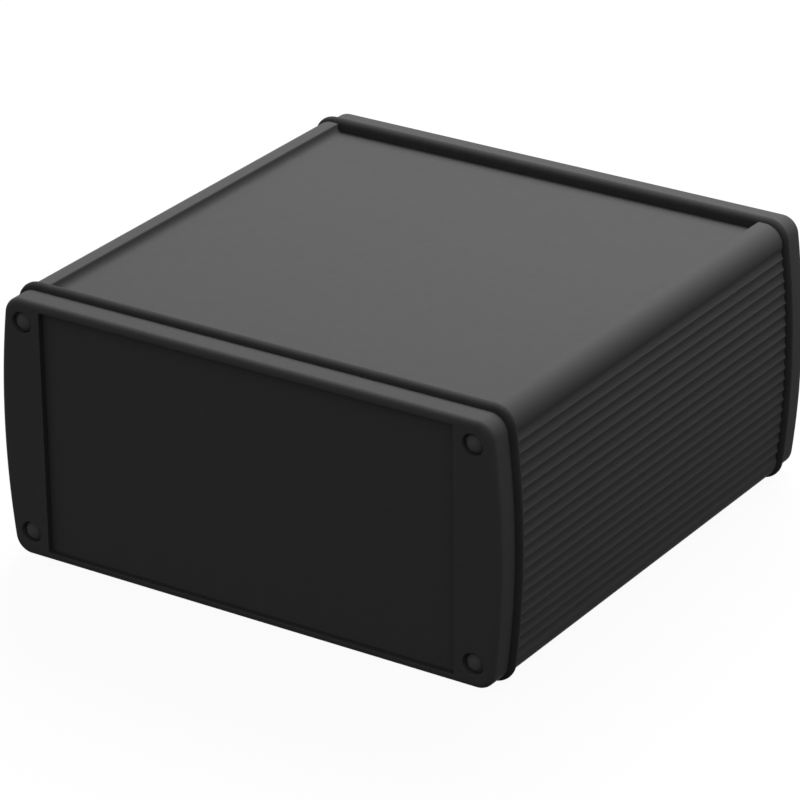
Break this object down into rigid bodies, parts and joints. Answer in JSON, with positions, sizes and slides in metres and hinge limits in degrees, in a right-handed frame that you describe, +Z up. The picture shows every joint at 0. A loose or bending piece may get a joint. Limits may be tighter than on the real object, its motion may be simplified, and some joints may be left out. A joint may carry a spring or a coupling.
{
  "type": "extruded aluminium enclosure",
  "caption": "Black desktop instrument case: a fluted extruded aluminium tube closed by end caps over rubber gaskets, with board guides inside.",
  "frame": {"origin": "bottom centre of the case's bounding box, level with what it stands on", "axes": "+X to the right across the front cap, +Y to the rear along the extrusion, +Z up"},
  "size_m": [0.1672, 0.1666, 0.082],
  "materials": {
    "extrusion": "black anodised, satin, with faint lines along the extrusion",
    "cap": "die-cast, satin black powder coat with a fine grain",
    "gasket": "matt black",
    "plug": "smooth black, slightly glossy",
    "screw": "bright zinc plated"
  },
  "bodies": {
    "root": {"extruded_body": "extrusion", "front_cap": "cap", "front_gasket": "gasket", "front_screw_top_left": "screw", "front_plug_top_left": "plug", "front_screw_top_right": "screw", "front_plug_top_right": "plug", "front_screw_bottom_left": "screw", "front_plug_bottom_left": "plug", "front_screw_bottom_right": "screw", "front_plug_bottom_right": "plug", "rear_cap": "cap", "rear_gasket": "gasket", "rear_screw_top_left": "screw", "rear_plug_top_left": "plug", "rear_screw_top_right": "screw", "rear_plug_top_right": "plug", "rear_screw_bottom_left": "screw", "rear_plug_bottom_left": "plug", "rear_screw_bottom_right": "screw", "rear_plug_bottom_right": "plug"}
  },
  "joints": []
}
